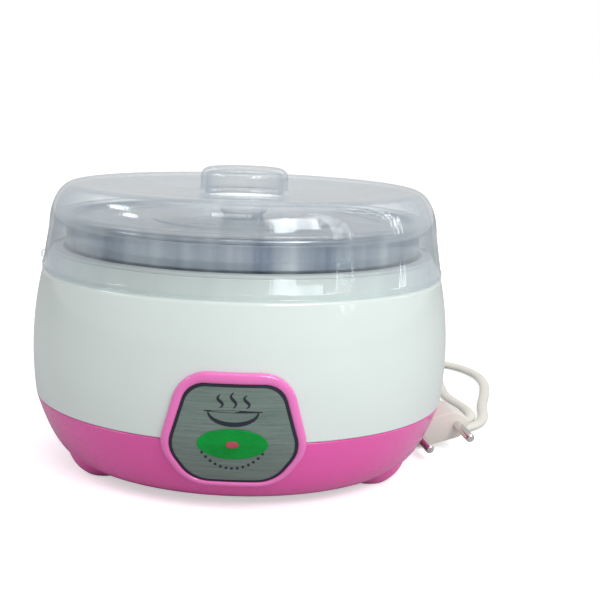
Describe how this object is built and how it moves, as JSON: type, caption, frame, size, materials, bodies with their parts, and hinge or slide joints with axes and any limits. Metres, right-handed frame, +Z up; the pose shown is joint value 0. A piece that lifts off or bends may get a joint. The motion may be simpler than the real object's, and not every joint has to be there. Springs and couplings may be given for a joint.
{
  "type": "yogurt maker",
  "caption": "Round tabletop yogurt maker: clear domed outer lid, inner lid, steel pot in a white housing on a coloured footed base, with badge, lamp, cord and plug.",
  "frame": {"origin": "on the table, below the middle of the round body (the badge stands 2 mm out at the front, so the box's middle is 1 mm forward of it)", "axes": "+Z up, -Y towards the badge side that faces the user, +X to the user's right"},
  "size_m": [0.23, 0.2894, 0.1274],
  "materials": {
    "clear_lid": "clear polystyrene, polished",
    "clear_inner_lid": "clear plastic, lightly frosted",
    "stainless": "stainless steel, drawn and softly polished",
    "well_plastic": "pale grey moulded plastic",
    "white_gloss": "glossy white moulded plastic",
    "pink_gloss": "glossy pink moulded plastic",
    "badge_pink": "glossy brighter pink moulded plastic",
    "label_steel": "brushed sheet with a dark printed border",
    "green_window": "green translucent window",
    "red_lens": "red translucent lens",
    "lamp_glass": "small glass envelope",
    "inner_plastic": "natural nylon",
    "aluminium": "stamped aluminium sheet",
    "heater_case": "anodised heater case",
    "zinc_steel": "zinc-plated steel",
    "dark_phenolic": "dark moulded phenolic",
    "wire_jacket": "heat-proof sleeve",
    "cord_pvc": "warm white flexible cord sheath",
    "plug_plastic": "moulded warm white plug",
    "nickel": "nickel-plated brass"
  },
  "bodies": {
    "root": {"inner_well": "well_plastic", "upper_housing": "white_gloss", "base_shell": "pink_gloss", "badge_frame": "badge_pink", "label_plate": "label_steel", "indicator_window": "green_window", "lamp_lens": "red_lens", "neon_lamp": "lamp_glass", "lamp_holder": "inner_plastic", "heating_plate": "aluminium", "ptc_heater": "heater_case", "heater_clamp": "zinc_steel", "clamp_screws": "zinc_steel", "thermostat": "dark_phenolic", "thermal_fuse": "inner_plastic", "wire_leads": "wire_jacket", "crimp_caps": "inner_plastic", "cord_clamp": "inner_plastic", "cord_clamp_screws": "zinc_steel", "cord_tail": "cord_pvc", "cord_grommet": "cord_pvc", "base_screws": "zinc_steel", "power_cord": "cord_pvc", "plug_strain_relief": "cord_pvc", "plug_body": "plug_plastic", "plug_pins": "nickel"},
    "pot": {"inner_pot": "stainless"},
    "pot_lid": {"inner_lid": "clear_inner_lid"},
    "cover": {"outer_lid": "clear_lid"}
  },
  "joints": [
    {"name": "pot_lift", "type": "slide", "parent": "root", "child": "pot", "axis": [0, 0, 1], "range_m": [0, 0.08]},
    {"name": "inner_lid_lift", "type": "slide", "parent": "pot", "child": "pot_lid", "axis": [0, 0, 1], "range_m": [0, 0.03]},
    {"name": "outer_lid_lift", "type": "slide", "parent": "pot_lid", "child": "cover", "axis": [0, 0, 1], "range_m": [0, 0.05]}
  ]
}
